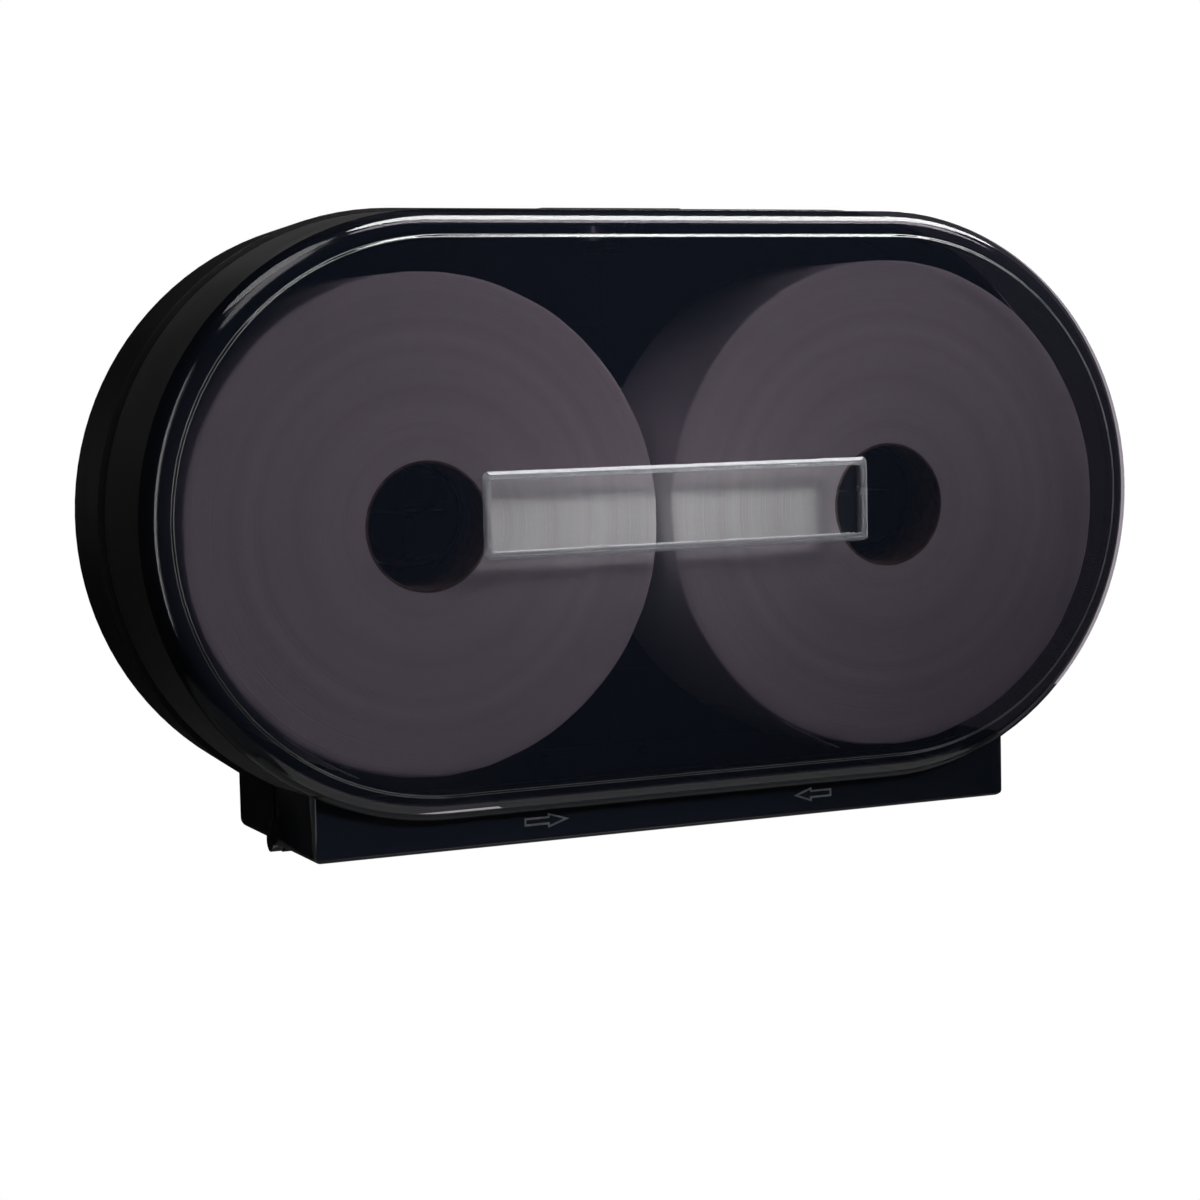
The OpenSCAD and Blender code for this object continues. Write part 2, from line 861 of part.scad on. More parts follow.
module catch_boss() {
    boss_low = arm_low + arm_t;
    translate([catch_x - catch_w / 2, -catch_front, boss_low])
        cube([catch_w, catch_front - catch_back, cover_r - wall / 2 - cover_draft / 2 - boss_low]);
}

module catch_screw_places() {
    for (side = [-1, 1])
        translate([catch_x + side * catch_screw_step, -(catch_back + catch_front) / 2, 0])
            children();
}

module cover_shell() {
    color("#26272b")
    difference() {
        union() {
            difference() {
                union() {
                    cover_dome(0, cover_back);
                    skirt_block();
                }
                cover_dome(wall, cover_back - 1);
                open_box(skirt_inner, cover_back - 1, skirt_depth - wall);
            }
            cover_ears();
            catch_boss();
        }
        out_from(front_depth / 2)
            linear_extrude(front_depth)
                rounded_rectangle(window_w - 2 * window_frame + 2 * pane_play,
                    window_h - 2 * window_frame + 2 * pane_play, window_corner - 1);
        side_pins(pin_d / 2 + pin_play, skirt_inner - 1, ear_out + 1);
        catch_screw_places()
            translate([0, 0, arm_low])
                cylinder(r = small_screw_r + fit_play, h = arm_t + catch_screw_l + rest_gap);
    }
}

// Clear window: a pane that plugs the opening, with a raised frame in front of the panel
module window_lens() {
    inner_w = window_w - 2 * window_frame;
    inner_h = window_h - 2 * window_frame;
    sink = 0.4;
    color("#dfe3e6")
    difference() {
        union() {
            out_from(front_depth)
                linear_extrude(window_rise)
                    rounded_rectangle(window_w, window_h, window_corner);
            out_from(front_depth - pane_t)
                linear_extrude(pane_t + eps)
                    rounded_rectangle(inner_w, inner_h, window_corner - 1);
        }
        out_from(front_depth + sink)
            linear_extrude(window_rise)
                rounded_rectangle(inner_w, inner_h, window_corner - 1);
    }
}

// The catch: a strip under the boss, an arm back into the casing, and a hook behind the cam
module cover_catch() {
    hook_back = hook_front - hook_t;
    color("#1f1f22")
    difference() {
        union() {
            translate([catch_x - catch_w / 2, -catch_front, arm_low])
                cube([catch_w, catch_front - catch_back, arm_t]);
            translate([arm_x, -catch_front, arm_low])
                cube([arm_w, catch_front - hook_back, arm_t]);
            translate([arm_x, -hook_front, hook_low])
                cube([arm_w, hook_t, arm_low + arm_t - hook_low]);
        }
        catch_screw_places()
            translate([0, 0, arm_low - 1])
                cylinder(r = small_screw_r + screw_play, h = arm_t + 2);
    }
}

module catch_screws() {
    color("#1f1f22")
    catch_screw_places() {
        translate([0, 0, arm_low - small_head_t])
            cylinder(r = small_head_r, h = small_head_t);
        translate([0, 0, arm_low - eps])
            cylinder(r = small_screw_r, h = arm_t + catch_screw_l);
    }
}

// ---- Paper rolls ----

module paper(x, d) {
    inner = core_d / 2 + core_wall;
    turned(x, roll_z)
        difference() {
            union() {
                translate([0, roll_back + roll_edge])
                    square([d / 2, roll_w - 2 * roll_edge]);
                translate([0, roll_back])
                    square([d / 2 - roll_edge, roll_w]);
                for (depth = [roll_back + roll_edge, roll_front - roll_edge])
                    translate([d / 2 - roll_edge, depth])
                        circle(roll_edge);
            }
            translate([-1, roll_back - 1])
                square([inner + 1, roll_w + 2]);
        }
}

module core(x) {
    turned(x, roll_z)
        translate([core_d / 2, roll_back])
            square([core_wall, roll_w]);
}

module left_roll() {
    color("#efeef0") paper(-roll_x, left_roll_d);
}

module left_core() {
    color("#a98a68") core(-roll_x);
}

module right_roll() {
    color("#efeef0") paper(roll_x, right_roll_d);
}

module right_core() {
    color("#a98a68") core(roll_x);
}

back_casing();
left_spindle();
right_spindle();
spindle_screws();
outlet_frame();
frame_screws();
tear_bars();
tear_bar_rivets();
slide_gate();
hinge_pins();
lock_housing();
lock_nut();
lock_plug();
lock_cam();
cam_screw();
cover_shell();
window_lens();
cover_catch();
catch_screws();
left_roll();
left_core();
right_roll();
right_core();
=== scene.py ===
# %% [markdown]
# # A twin jumbo toilet roll dispenser
#
# The dispenser hangs on a washroom wall. A matt black casing is screwed to the wall, two big
# rolls of tissue turn on spindles inside it, and a cover of smoke-coloured plastic closes the
# front. The cover swings down on two pins. A gate below the rolls lets out the paper of one
# roll at a time.
#
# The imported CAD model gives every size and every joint. This lesson dresses it: it makes the
# materials, and it remodels the pieces whose surface matters most, such as paper and glossy
# plastic. All lengths are metres, apart from a few in millimetres that say so. The wall is the
# plane y = 0, and the room lies towards -y.

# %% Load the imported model
import json
import math

import bmesh
import bpy
from mathutils import Matrix, Vector, noise


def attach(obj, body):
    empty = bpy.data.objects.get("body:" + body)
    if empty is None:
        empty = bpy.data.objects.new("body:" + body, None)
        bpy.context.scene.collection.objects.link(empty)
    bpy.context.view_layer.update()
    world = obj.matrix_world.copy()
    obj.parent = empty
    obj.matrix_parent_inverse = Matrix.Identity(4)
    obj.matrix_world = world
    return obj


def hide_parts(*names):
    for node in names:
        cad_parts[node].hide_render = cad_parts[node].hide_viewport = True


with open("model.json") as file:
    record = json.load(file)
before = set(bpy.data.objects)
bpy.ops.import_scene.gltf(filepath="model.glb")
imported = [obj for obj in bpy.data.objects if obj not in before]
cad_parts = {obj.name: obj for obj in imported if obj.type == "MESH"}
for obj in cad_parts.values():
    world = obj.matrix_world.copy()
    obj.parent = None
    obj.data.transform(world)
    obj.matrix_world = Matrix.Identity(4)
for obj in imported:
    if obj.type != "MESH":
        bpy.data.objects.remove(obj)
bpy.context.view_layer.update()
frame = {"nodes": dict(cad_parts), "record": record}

# %% [markdown]
# ## Camera
#
# A product photographer stands a little to the left of the dispenser and looks slightly down.
# The camera is turned in three steps, the same three that a tripod head has: pan to the side,
# tilt down, and a small roll. Building the turn from three plain rotations keeps each one
# readable, where a list of sixteen matrix numbers would hide them. The lens shift slides the
# picture sideways without turning the camera, which keeps upright edges as they are.

# %% Camera
CAMERA_PLACE = (-0.5574, -1.2644, 0.0686)
PAN_RIGHT = math.radians(25.59)
TILT_DOWN = math.radians(4.93)
CAMERA_ROLL = math.radians(1.23)
LENS_MM = 82.6
SHIFT_X = -0.0560
SHIFT_Y = -0.0030

camera_data = bpy.data.cameras.new("camera")
camera_data.sensor_width = 36.0
camera_data.lens = LENS_MM
camera_data.shift_x = SHIFT_X
camera_data.shift_y = SHIFT_Y
camera = bpy.data.objects.new("camera", camera_data)
bpy.context.scene.collection.objects.link(camera)
camera.matrix_world = (
    Matrix.Translation(CAMERA_PLACE)
    @ Matrix.Rotation(-PAN_RIGHT, 4, "Z")
    @ Matrix.Rotation(math.radians(90) - TILT_DOWN, 4, "X")
    @ Matrix.Rotation(-CAMERA_ROLL, 4, "Z")
)
bpy.context.scene.camera = camera
print("camera lens", LENS_MM, "mm")

# %% [markdown]
# ## Node helpers
#
# Every material below is a small graph of nodes, and a few helpers keep the graphs short. The
# first adds one node and fills its sockets, either with a number or with a link from another
# node. The others do sums, start a material and hand back its Principled shader, stretch a
# noise pattern over a range, and blend two colours.


# %% Node helpers
# a Mix node has sockets for numbers, vectors and colours side by side; these are the colours'
FIRST_COLOUR, SECOND_COLOUR, MIXED_COLOUR = 6, 7, 2


def node(tree, kind, settings=None, **sockets):
    """Add a shader node; a socket's value is a number, a colour, or another node's output."""
    made = tree.nodes.new("ShaderNode" + kind)
    for name, value in (settings or {}).items():
        setattr(made, name, value)
    for name, value in sockets.items():
        socket = made.inputs[name.replace("_", " ")]
        if isinstance(value, bpy.types.NodeSocket):
            tree.links.new(value, socket)
        else:
            socket.default_value = value
    return made


def maths(tree, operation, first, second=0.0):
    """One Math node on two numbers or outputs."""
    made = tree.nodes.new("ShaderNodeMath")
    made.operation = operation
    for socket, value in zip(made.inputs, (first, second)):
        if isinstance(value, bpy.types.NodeSocket):
            tree.links.new(value, socket)
        else:
            socket.default_value = value
    return made.outputs["Value"]


def new_material(name, colour, roughness, **sockets):
    """A material with one Principled shader whose plain values are set."""
    material = bpy.data.materials.new(name)
    material.use_nodes = True
    tree = material.node_tree
    shader = tree.nodes["Principled BSDF"]
    shader.inputs["Base Color"].default_value = (*colour, 1.0)
    shader.inputs["Roughness"].default_value = roughness
    for socket, value in sockets.items():
        shader.inputs[socket.replace("_", " ")].default_value = value
    return material, tree, shader


def spread(tree, value, low, high):
    """Stretch a noise value from its usual 0.3 to 0.7 onto low to high."""
    made = node(tree, "MapRange", Value=value, From_Min=0.3, From_Max=0.7, To_Min=low, To_Max=high)
    return made.outputs["Result"]


def two_colours(tree, share, first, second):
    """A colour that runs from the first to the second as share goes from 0 to 1."""
    made = node(tree, "Mix", {"data_type": "RGBA"})
    tree.links.new(share, made.inputs["Factor"])
    made.inputs[FIRST_COLOUR].default_value = (*first, 1.0)
    made.inputs[SECOND_COLOUR].default_value = (*second, 1.0)
    return made.outputs[MIXED_COLOUR]


print("node helpers are ready")

# %% [markdown]
# ## Stage
#
# The studio is plain: a pale floor below, a white world behind, and a few soft lamps. The white
# of the background is shown to camera rays, and straight behind the dispenser, where the
# backdrop hangs, also to mirror rays and to rays through plastic. All round it mirror rays meet
# a dim room, as they do in a real studio, because black and smoke plastic would otherwise look
# milky. The lamps stay at a level at which a white sheet renders just below white.

# %% Floor
FLOOR_HEIGHT = -0.72
FLOOR_RADIUS = 1.0
FLOOR_WHITE = 0.92
FLOOR_IN_MIRRORS = 0.5
FLOOR_SHARE_OF_SHADOW = 0.12

floor_mesh = bpy.data.meshes.new("studio_floor")
floor_bm = bmesh.new()
bmesh.ops.create_circle(floor_bm, cap_ends=True, segments=96, radius=FLOOR_RADIUS)
bmesh.ops.translate(floor_bm, verts=floor_bm.verts, vec=(0, 0, FLOOR_HEIGHT))
floor_bm.to_mesh(floor_mesh)
floor_bm.free()
studio_floor = bpy.data.objects.new("studio_floor", floor_mesh)
bpy.context.scene.collection.objects.link(studio_floor)

floor_material, tree, shader = new_material(
    "floor_white", (1.0, 1.0, 1.0), 0.9, Specular_IOR_Level=0.0
)
path = node(tree, "LightPath").outputs
dimmed = maths(tree, "MULTIPLY", path["Is Glossy Ray"], FLOOR_WHITE - FLOOR_IN_MIRRORS)
tree.links.new(maths(tree, "SUBTRACT", FLOOR_WHITE, dimmed), shader.inputs["Base Color"])
white = node(tree, "Emission", Color=(1, 1, 1, 1), Strength=1.0)
glow = maths(tree, "MULTIPLY", path["Is Camera Ray"], 1 - FLOOR_SHARE_OF_SHADOW)
mixed = node(tree, "MixShader", Fac=glow)
tree.links.new(shader.outputs["BSDF"], mixed.inputs[1])
tree.links.new(white.outputs["Emission"], mixed.inputs[2])
tree.links.new(mixed.outputs["Shader"], tree.nodes["Material Output"].inputs["Surface"])
floor_mesh.materials.append(floor_material)
print("floor at z", FLOOR_HEIGHT)

# %% World
ROOM_LIGHT = 0.022
ROOM_IN_MIRRORS = 0.008

world = bpy.data.worlds.new("studio")
bpy.context.scene.world = world
world.use_nodes = True
tree = world.node_tree
path = node(tree, "LightPath").outputs
direction = node(tree, "TexCoord").outputs["Generated"]
behind = node(tree, "SeparateXYZ", Vector=direction).outputs["Y"]
backdrop = node(
    tree, "MapRange", Value=behind, From_Min=0.996, From_Max=0.999, To_Min=0.0, To_Max=1.0
).outputs["Result"]
mirror_or_through = maths(tree, "MAXIMUM", path["Is Glossy Ray"], path["Is Transmission Ray"])
behind_object = maths(tree, "MULTIPLY", mirror_or_through, backdrop)
shown = maths(tree, "MAXIMUM", path["Is Camera Ray"], behind_object)
mirrored = maths(tree, "MULTIPLY", mirror_or_through, ROOM_LIGHT - ROOM_IN_MIRRORS)
lighting = maths(tree, "SUBTRACT", ROOM_LIGHT, mirrored)
level = maths(tree, "MAXIMUM", shown, lighting)
sky = tree.nodes["Background"]
sky.inputs["Color"].default_value = (1, 1, 1, 1)
tree.links.new(level, sky.inputs["Strength"])
bpy.context.scene.view_settings.view_transform = "Standard"
print("room light", ROOM_LIGHT, "and in mirrors", ROOM_IN_MIRRORS)

# %% [markdown]
# ## Lamps
#
# The bright line along the top of the cover mirrors a wide soft box overhead, and its place was
# worked out backwards: the direction from the camera, bounced off the rim, points to where the
# lamp must hang. It is there for its reflection, so it leaves matte surfaces alone. The key lamp
# does the opposite. It wears a polarising film, as studio lamps do for glossy plastic: it lights
# the paper, but leaves no glare. It stands to the right, because the glow that it throws through
# the window falls to the left, and its narrow beam fades towards the lower right. A lamp with a
# snoot, a tube that leaves only a small beam, brightens the paper behind the window. A weak fill
# lifts the shadows, a tall strip and a small box draw the soft streaks at the left, a card on
# the floor is mirrored in the lower rim, and a box behind serves views from the back.


# %% Lamps
def soft_lamp(name, place, aim, size, watts, shape="ELLIPSE", beam=180, glare=True, matte=True):
    """A soft box that looks at a point; beam is the angle at which its light has faded out."""
    data = bpy.data.lights.new(name, "AREA")
    data.shape = shape
    data.size, data.size_y = size
    data.energy = watts
    data.spread = math.radians(beam)
    lamp = bpy.data.objects.new(name, data)
    bpy.context.scene.collection.objects.link(lamp)
    lamp.location = place
    lamp.rotation_euler = (Vector(aim) - Vector(place)).to_track_quat("-Z", "Y").to_euler()
    lamp.visible_camera = False
    lamp.visible_glossy = glare
    lamp.visible_diffuse = matte
    print(name, watts, "W")


soft_lamp("overhead", (0.62, -0.33, 1.00), (0.62, -0.11, 0.12), (1.5, 0.46), 34, matte=False)
soft_lamp(
    "key", (0.86, -0.90, 0.65), (0, -0.10, 0.11), (0.45, 0.45), 0.89,
    shape="RECTANGLE", beam=24, glare=False,
)
soft_lamp(
    "snoot", (-0.25, -1.25, 0.06), (0.0, -0.10, 0.006), (0.18, 0.03), 0.009,
    beam=7, glare=False,
)
soft_lamp("fill", (-0.60, -1.30, 1.35), (0, -0.10, 0), (0.9, 0.7), 2.85)
soft_lamp("left_strip", (-1.06, -0.98, 0.10), (-0.10, -0.118, 0), (0.21, 1.4), 2.5, matte=False)
soft_lamp("upper_left", (-0.46, -0.32, 0.88), (-0.25, -0.08, 0.08), (0.70, 0.34), 1.9)
soft_lamp(
    "floor_card", (0.20, -0.45, -0.70), (0.20, -0.40, 0), (1.1, 0.7), 1.3,
    shape="RECTANGLE", matte=False,
)
soft_lamp("behind", (1.0, 1.3, 0.15), (0, 0, 0), (0.9, 0.9), 7)

# %% [markdown]
# ## Black moulded plastics
#
# The casing is injection moulded with a fine spark-eroded texture, which scatters light and
# makes black look soft. A noise pattern of about a millimetre drives a bump node, and a slower
# noise varies the roughness, as skin oil and wiping do. A Bevel node rounds every edge in the
# shading, so edges catch light as real moulded ones do. The hidden plastics share the recipe
# with other numbers, so one function makes them all.


# %% Moulded plastic
def moulded_plastic(name, colour, roughness, grain, depth, edge=0.0004):
    """Opaque plastic; grain and depth are the texture's size, edge the rounding of its corners."""
    material, tree, shader = new_material(name, colour, roughness, Specular_IOR_Level=0.25)
    place = node(tree, "TexCoord").outputs["Object"]
    fine = node(tree, "TexNoise", Vector=place, Scale=1 / grain, Detail=3.0).outputs["Fac"]
    slow = node(tree, "TexNoise", Vector=place, Scale=14.0, Detail=4.0).outputs["Fac"]
    rounded = node(tree, "Bevel", {"samples": 4}, Radius=edge).outputs["Normal"]
    bump = node(tree, "Bump", Strength=1.0, Distance=depth, Height=fine, Normal=rounded)
    tree.links.new(bump.outputs["Normal"], shader.inputs["Normal"])
    rough = spread(tree, slow, roughness - 0.06, roughness + 0.08)
    tree.links.new(rough, shader.inputs["Roughness"])
    worn = spread(tree, slow, 0.0, 1.0)
    lighter = tuple(min(1.0, value * 1.5 + 0.004) for value in colour)
    tree.links.new(two_colours(tree, worn, colour, lighter), shader.inputs["Base Color"])
    print("material", name)
    return material


casing_black = moulded_plastic("casing_black", (0.007, 0.007, 0.0075), 0.46, 0.0011, 0.00006)
spindle_black = moulded_plastic("spindle_black", (0.014, 0.014, 0.016), 0.30, 0.0030, 0.00001)
frame_grey = moulded_plastic("frame_grey", (0.030, 0.030, 0.033), 0.45, 0.0012, 0.00005)
gate_grey = moulded_plastic("gate_grey", (0.055, 0.055, 0.060), 0.40, 0.0014, 0.00004)

# %% [markdown]
# ## Smoke plastic
#
# The cover is one moulding with three finishes. Its front is polished and see-through, its round
# side has the same fine texture as the casing, and the skirt below is thick and nearly black.
# A true glass shader would bend light in each thin wall and slow the render, so a Transparent
# shader lets part of the light straight through, and a Principled shader adds colour and gloss.
# Light crosses the wall on its way in and on its way out, four surfaces in all. So even a pale
# surface turns white paper dark, and a tint of a few percent turns it plum.


# %% Smoke plastic
SMOKE = (0.008, 0.011, 0.019)
SMOKE_GREY = (0.016, 0.016, 0.018)
# a paler smoke colour, a painted highlight on the panel's step and on the arrows' borders
PAINTED_HIGHLIGHT_COLOUR = (0.150, 0.155, 0.165)
PLUM_TINT = (1.0, 0.953, 1.0, 1.0)


def smoke_plastic(name, colour, cover_share, roughness, grain, depth):
    """See-through plastic; cover_share is the part of the light that doesn't get through."""
    material, tree, shader = new_material(
        name, colour, roughness, IOR=1.49, Specular_IOR_Level=1.0
    )
    place = node(tree, "TexCoord").outputs["Object"]
    pattern = node(tree, "TexNoise", Vector=place, Scale=1 / grain, Detail=2.0).outputs["Fac"]
    bump = node(tree, "Bump", Strength=1.0, Distance=depth, Height=pattern)
    tree.links.new(bump.outputs["Normal"], shader.inputs["Normal"])
    wiped = node(tree, "TexNoise", Vector=place, Scale=9.0, Detail=5.0).outputs["Fac"]
    rough = spread(tree, wiped, roughness * 0.8, roughness * 1.25)
    tree.links.new(rough, shader.inputs["Roughness"])
    through = node(tree, "BsdfTransparent", Color=PLUM_TINT)
    mixed = node(tree, "MixShader", Fac=cover_share)
    tree.links.new(through.outputs["BSDF"], mixed.inputs[1])
    tree.links.new(shader.outputs["BSDF"], mixed.inputs[2])
    tree.links.new(mixed.outputs["Shader"], tree.nodes["Material Output"].inputs["Surface"])
    print("material", name)
    return material


smoke_polished = smoke_plastic("smoke_polished", SMOKE, 0.465, 0.07, 0.09, 0.00002)
smoke_frosted = smoke_plastic("smoke_frosted", SMOKE_GREY, 0.96, 0.46, 0.0011, 0.00006)
smoke_skirt = smoke_plastic("smoke_skirt", SMOKE, 0.975, 0.16, 0.05, 0.00002)
# the pale smoke paints the highlight that the step's edges and the arrows' borders catch
smoke_painted_highlight = smoke_plastic("smoke_painted_highlight", PAINTED_HIGHLIGHT_COLOUR, 0.90, 0.25, 0.002, 0.00001)


def clear_plastic(name, colour, cover_share, gloss):
    """The window's clear plastic, with faint waves from the mould; the pane has hardly any colour.
    """
    material, tree, shader = new_material(
        name, colour, 0.05, Alpha=cover_share, Specular_IOR_Level=gloss
    )
    place = node(tree, "TexCoord").outputs["Object"]
    waves = node(tree, "TexNoise", Vector=place, Scale=25.0, Detail=1.0).outputs["Fac"]
    bump = node(tree, "Bump", Strength=1.0, Distance=0.00001, Height=waves)
    tree.links.new(bump.outputs["Normal"], shader.inputs["Normal"])
    smears = node(tree, "TexNoise", Vector=place, Scale=40.0, Detail=4.0).outputs["Fac"]
    tree.links.new(spread(tree, smears, 0.04, 0.10), shader.inputs["Roughness"])
    print("material", name)
    return material


clear_window = clear_plastic("clear_window", (0.03, 0.035, 0.05), 0.24, 0.4)
# the frame's pale grey is painted light: it stands in for the light that the clear frame's edges
# catch and pass on
clear_frame_painted_light = clear_plastic("clear_frame_painted_light", (0.34, 0.35, 0.38), 0.50, 0.5)

# %% [markdown]
# ## Metals
#
# The tear bars and the screws behind the rolls are zinc-plated steel, what lies near the smoke
# cover is plated black so that it doesn't show through, and the lock is satin chrome. On
# brushed metal the scratches all run one way, so the noise is stretched with a Mapping node:
# a small scale along x makes long streaks, a large one across makes them fine.


# %% Metals
def brushed_metal(name, colour, roughness, along, across, depth=0.00002, varied=0.10):
    """Metal with scratches along x; varied is how far its roughness strays."""
    material, tree, shader = new_material(name, colour, roughness, Metallic=1.0)
    place = node(tree, "TexCoord").outputs["Object"]
    stretched = node(tree, "Mapping", Vector=place, Scale=(along, across, across)).outputs["Vector"]
    streaks = node(tree, "TexNoise", Vector=stretched, Scale=1.0, Detail=3.0).outputs["Fac"]
    rounded = node(tree, "Bevel", {"samples": 4}, Radius=0.0002).outputs["Normal"]
    bump = node(tree, "Bump", Strength=1.0, Distance=depth, Height=streaks, Normal=rounded)
    tree.links.new(bump.outputs["Normal"], shader.inputs["Normal"])
    rough = spread(tree, streaks, roughness - varied, roughness + varied)
    tree.links.new(rough, shader.inputs["Roughness"])
    print("material", name)
    return material


steel = brushed_metal("steel", (0.60, 0.61, 0.62), 0.32, 60.0, 1500.0)
black_steel = brushed_metal("black_steel", (0.035, 0.035, 0.038), 0.38, 300.0, 900.0)
lock_metal = brushed_metal(
    "lock_metal", (0.70, 0.71, 0.73), 0.34, 300.0, 300.0, depth=0.0000004, varied=0.04
)

# %% [markdown]
# ## Dress the CAD nodes
#
# Most nodes keep their CAD shape and only need their finish. A table from material slot to
# material does that in one loop, and the record says which slot each node has.

# %% Dress the CAD nodes
FINISHES = {
    "casing_black": casing_black,
    "smoke_cover": smoke_polished,
    "clear_window": clear_window,
    "spindle_black": spindle_black,
    "frame_grey": frame_grey,
    "gate_grey": gate_grey,
    "steel": steel,
    "black_steel": black_steel,
    "lock_metal": lock_metal,
}


def dress(thing, *materials):
    """Swap what an object wears; its mesh stays as it is."""
    thing.data.materials.clear()
    for material in materials:
        thing.data.materials.append(material)


dressed = [part for part in frame["record"]["subparts"] if part["material_slot"] in FINISHES]
for part in dressed:
    dress(frame["nodes"][part["node"]], FINISHES[part["material_slot"]])
print("dressed nodes:", [part["node"] for part in dressed])

# %% [markdown]
# ## Smooth copies of the mouldings
#
# A CAD node is a bag of loose triangles, so each facet of a round shell catches light alone.
# For the casing and the cover a copy is merged into one skin and shaded smooth, with edges kept
# crisp where two faces meet at more than thirty degrees. The function that shades a piece also
# serves every piece that is modelled from nothing further down.


# %% Finished pieces and smooth copies
def finish_piece(name, bm, body, slot, *materials, crisp=30):
    """Turn a bmesh into an object that rides a body and wears the given materials; slot is not
    used.
    """
    mesh = bpy.data.meshes.new(name)
    bm.to_mesh(mesh)
    bm.free()
    mesh.shade_smooth()
    mesh.set_sharp_from_angle(angle=math.radians(crisp))
    for material in materials:
        mesh.materials.append(material)
    piece = bpy.data.objects.new(name, mesh)
    bpy.context.scene.collection.objects.link(piece)
    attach(piece, body)
    print(name, "faces:", len(mesh.polygons))
    return piece


def merged_copy(node_name):
    """A bmesh of a CAD node whose loose triangles share their corners."""
    bm = bmesh.new()
    bm.from_mesh(frame["nodes"][node_name].data)
    bmesh.ops.remove_doubles(bm, verts=bm.verts, dist=1e-6)
    return bm


casing = finish_piece("casing", merged_copy("back_casing"), "base", "casing_black", casing_black)
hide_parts("back_casing")

# %% [markdown]
# ## The window
#
# The clear window is a thick pane in a raised frame. Its bright outline comes from two slopes
# that face outwards, one on the frame and one on the pane's own edge, with a dark groove between
# them, and in part from the frame's pale grey colour, which is painted light. So the window is
# built as a stack of rounded rectangles, from the pane's back over the frame to its front, and
# each loop is extruded from the last. The slopes lie at the tilt at which they mirror the
# overhead lamp to somebody in front.

# %% Window
WINDOW_HALF = (0.099, 0.020)
WINDOW_CORNER = 0.003
PANEL_FACE = -0.118
CORNER_STEPS = 6
CORNER_SHRINKS = 0.00035
PANE, FRAME = 0, 1
# each loop's distance in from the outline and its height over the front panel, in millimetres
WINDOW_LOOPS = [
    (3.9, -2.4), (3.5, -2.1), (3.5, -0.05), (0.0, -0.05), (0.1, 0.05), (1.5, 1.2), (1.65, 1.25),
    (1.9, 1.25), (2.0, 0.8), (2.15, 0.75), (3.15, 1.55), (3.3, 1.6), (3.5, 1.55), (3.9, 1.3),
]


def window_outline(inset_mm, height_mm):
    """Points of one rounded rectangle; its corners get smaller towards the pane."""
    corner = WINDOW_CORNER - CORNER_SHRINKS * inset_mm
    centre_x = WINDOW_HALF[0] - inset_mm / 1000 - corner
    centre_z = WINDOW_HALF[1] - inset_mm / 1000 - corner
    points = []
    for side_x, side_z, start in ((1, 1, 0), (-1, 1, 90), (-1, -1, 180), (1, -1, 270)):
        for step in range(CORNER_STEPS + 1):
            angle = math.radians(start + 90 * step / CORNER_STEPS)
            x = side_x * centre_x + corner * math.cos(angle)
            z = side_z * centre_z + corner * math.sin(angle)
            points.append(Vector((x, PANEL_FACE - height_mm / 1000, z)))
    return points


def next_loop(bm, loop, points, next_points):
    """Extrude a loop of edges and move each new corner to its place on the next outline."""
    made = bmesh.ops.extrude_edge_only(bm, edges=loop)["geom"]
    verts = [item for item in made if isinstance(item, bmesh.types.BMVert)]
    for vert in verts:
        nearest = min(range(len(points)), key=lambda i: (points[i] - vert.co).length)
        vert.co = next_points[nearest]
    edges = [item for item in made if isinstance(item, bmesh.types.BMEdge)]
    return [edge for edge in edges if set(edge.verts) <= set(verts)]


window_bm = bmesh.new()
outlines = [window_outline(inset, height) for inset, height in WINDOW_LOOPS]
first = [window_bm.verts.new(point) for point in outlines[0]]
loops = [[window_bm.edges.new(pair) for pair in zip(first, first[1:] + first[:1])]]
for points, next_points in zip(outlines, outlines[1:]):
    loops.append(next_loop(window_bm, loops[-1], points, next_points))
panes = [
    bmesh.ops.edgeloop_fill(window_bm, edges=loop)["faces"][0] for loop in (loops[0], loops[-1])
]
bmesh.ops.recalc_face_normals(window_bm, faces=window_bm.faces)
for face in window_bm.faces:
    face.material_index = PANE if face in panes else FRAME
largest = max(face.calc_area() for face in window_bm.faces if face not in panes)
print("window's largest frame face, mm2:", round(largest * 1e6, 1))
window = finish_piece(
    "window", window_bm, "cover", "clear_window", clear_window, clear_frame_painted_light, crisp=20
)
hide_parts("window_lens")

# %% [markdown]
# ## The cover's finishes
#
# The cover's outer side, from the seam to where the rim starts to round, is textured, and what
# hangs below the round shell is skirt. The rim's underside is as dark as the skirt, so that less
# daylight from the open outlet shines through it. A face belongs to the side if it looks sideways
# and lies as far out as the outer skin. Distance is measured from the spine, the line between
# the centres of the two round ends, which treats the round ends and the straight sides alike.
#
# The front panel stands one millimetre proud of the rim. Its step gets a slope, by pulling the
# upper edge inwards, and a bevel on both edges. The bevel's faces get a paler colour of their
# own, a painted highlight for the fine pale line that light draws along the real step all round
# the panel.

# %% Cover
END_X = 0.116
OUTER_SKIN = 0.1369
RIM_STARTS = -0.1068
SKIRT_JOINS = -0.1345
UNDERSIDE = 0.1335
UNDERSIDE_TOP = -0.1
STEP_R = 0.1255
STEP_FOOT = -0.117
STEP_SLOPE = 0.0009
STEP_ROUND = 0.00026
SKIRT_TOP = -0.118
SKIRT_HALF = 0.184
SKIRT_FRONT = -0.1078
SKIRT_OUT = 0.1395
SKIRT_OUT_BELOW = 0.1375
POLISHED, TEXTURED, SKIRT, PAINTED_HIGHLIGHT = range(4)


def nearest_on_spine(point):
    """The x of the point of the spine that is nearest, seen from the front."""
    return max(-END_X, min(END_X, point.x))


def from_spine(point):
    """Distance from the line between the centres of the round ends, seen from the front."""
    return math.hypot(point.x - nearest_on_spine(point), point.z)


